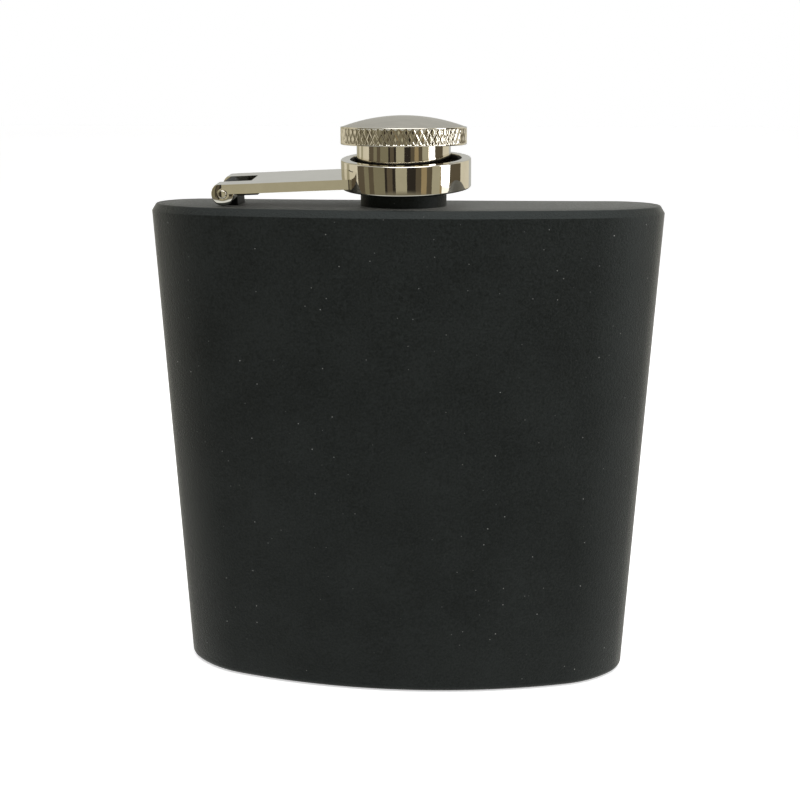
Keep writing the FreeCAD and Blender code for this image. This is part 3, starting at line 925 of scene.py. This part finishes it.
# The room that the bright metal mirrors: where each upright band starts, in degrees round from
# straight behind the flask, by way of its left side and its front, and its tone
ROOM = [
    (0, PALE),
    (20, KHAKI),
    (45, CREAM),
    (55, KHAKI),
    (65, CREAM),
    (90, SHADE),
    (105, OLIVE),
    (115, SHADE),
    (125, OLIVE),
    (145, BLACK),
    (150, SHADE),
    (160, BLACK),
    (165, KHAKI),
    (185, BLACK),
    (200, SHADE),
    (210, WOOD),
    (220, SHADE),
    (230, KHAKI),
    (245, WOOD),
    (250, WINDOW),
    (265, SHADE),
    (295, CREAM),
    (330, PALE),
]
SKY_LIGHT = 0.5
FLOOR_GLOW = 0.50


def floor():
    reach, low = 4.0, -0.1 * MM
    corners = [(-reach, -reach, low), (reach, -reach, low), (reach, reach, low), (-reach, reach, low)]
    mesh = new_mesh("floor", corners, [[0, 1, 2, 3]])
    ground = bpy.data.objects.new("floor", mesh)
    bpy.context.scene.collection.objects.link(ground)
    s = Shader("pale_floor", metallic=0.0, specular=0.2)
    cloud = s.noise(0.0005, detail=1.0)
    colour = s.ramp(cloud, 0.2, 0.8, (0.86, 0.86, 0.86), (0.90, 0.90, 0.90))
    s.surface.inputs["Emission Color"].default_value = (1, 1, 1, 1)
    s.surface.inputs["Emission Strength"].default_value = FLOOR_GLOW
    mesh.materials.append(s.finish(colour, s.spread(cloud, 0.2, 0.8, 0.75, 0.85)))
    ground.visible_glossy = False


def area_light(name, place, target, size, power):
    light = bpy.data.lights.new(name, "AREA")
    light.shape = "RECTANGLE"
    light.size, light.size_y = size
    light.energy = power
    lamp = bpy.data.objects.new(name, light)
    lamp.location = place
    lamp.rotation_euler = (Vector(target) - Vector(place)).to_track_quat("-Z", "Y").to_euler()
    bpy.context.scene.collection.objects.link(lamp)
    return lamp


def world():
    """White surroundings, with the upright bands of a furnished room for the metal to mirror."""
    setting = bpy.data.worlds.new("studio")
    bpy.context.scene.world = setting
    setting.use_nodes = True
    tree = setting.node_tree
    tree.nodes.clear()
    new = tree.nodes.new

    def maths(operation, *values):
        node = new("ShaderNodeMath")
        node.operation = operation
        for socket, value in zip(node.inputs, values):
            if isinstance(value, (int, float)):
                socket.default_value = value
            else:
                tree.links.new(value, socket)
        return node.outputs["Value"]

    direction = new("ShaderNodeTexCoord").outputs["Generated"]
    split = new("ShaderNodeSeparateXYZ")
    tree.links.new(direction, split.inputs["Vector"])
    turn = maths("ARCTAN2", split.outputs["X"], maths("MULTIPLY", split.outputs["Y"], -1.0))
    share = maths("ADD", maths("DIVIDE", turn, 2 * math.pi), 0.5)
    ramp = new("ShaderNodeValToRGB")
    tree.links.new(share, ramp.inputs["Fac"])
    ramp.color_ramp.interpolation = "CONSTANT"
    first, last = ramp.color_ramp.elements
    first.position, first.color = 0, (*ROOM[0][1], 1)
    last.position, last.color = ROOM[-1][0] / 360, (*ROOM[-1][1], 1)
    for start, tone in ROOM[1:-1]:
        ramp.color_ramp.elements.new(start / 360).color = (*tone, 1)

    def shaded(under, colour, start, stop):
        """Carry a colour over into another as the direction climbs or drops from start to stop."""
        climb = new("ShaderNodeMapRange")
        climb.interpolation_type = "SMOOTHSTEP"
        climb.inputs["From Min"].default_value = start
        climb.inputs["From Max"].default_value = stop
        tree.links.new(split.outputs["Z"], climb.inputs["Value"])
        mix = new("ShaderNodeMix")
        mix.data_type = "RGBA"
        tree.links.new(climb.outputs["Result"], mix.inputs["Factor"])
        tree.links.new(under, mix.inputs["A"])
        mix.inputs["B"].default_value = (*colour, 1)
        return mix.outputs["Result"]

    room = shaded(ramp.outputs["Color"], CEILING, 0.5, 0.85)
    room = shaded(room, FAR_FLOOR, -0.30, -0.36)
    room = shaded(room, PALE_FLOOR, -0.43, -0.52)
    room = shaded(room, NEAR_FLOOR, -0.75, -0.92)

    path = new("ShaderNodeLightPath")
    lit = maths("ADD", maths("MULTIPLY", path.outputs["Is Diffuse Ray"], SKY_LIGHT - 1.0), 1.0)
    shade = new("ShaderNodeMix")
    shade.data_type = "RGBA"
    tree.links.new(path.outputs["Is Glossy Ray"], shade.inputs["Factor"])
    tree.links.new(lit, shade.inputs["A"])
    tree.links.new(room, shade.inputs["B"])
    sky = new("ShaderNodeBackground")
    tree.links.new(shade.outputs["Result"], sky.inputs["Color"])
    tree.links.new(sky.outputs["Background"], new("ShaderNodeOutputWorld").inputs["Surface"])


def camera():
    """Low view from the front, a little to the right."""
    distance = 231.3 * MM
    height = 110.5 * MM
    aside = -0.96 * MM
    turn = 0.07746
    pitch = 0.24374
    focal_share = 1239 / 800
    data = bpy.data.cameras.new("camera")
    data.sensor_width = 36
    data.lens = 36 * focal_share
    data.clip_start = 0.01
    eye = bpy.data.objects.new("camera", data)
    spot = Matrix.Rotation(turn, 4, "Z") @ Vector((aside, -distance, height))
    eye.location = spot + Vector((0, END_LINE_Y, 0))
    eye.rotation_euler = (math.pi / 2 - pitch, 0, turn)
    bpy.context.scene.collection.objects.link(eye)
    bpy.context.scene.camera = eye


floor()
world()
camera()
middle = (0, 0, 0.055)
area_light("overhead", (0.05, -0.28, 0.70), middle, (0.7, 0.5), 3.4)
area_light("right_strip", (0.56, -0.13, 0.2), middle, (0.2, 0.5), 1.1)
left_strip = area_light("left_strip", (-0.6, 0.15, 0.2), middle, (0.2, 0.5), 0.6)
right_rim = area_light("right_rim", (0.5, 0.35, 0.2), middle, (0.3, 0.5), 1.0)
for lamp in (left_strip, right_rim):
    lamp.visible_glossy = False
bpy.context.scene.view_settings.view_transform = "Standard"
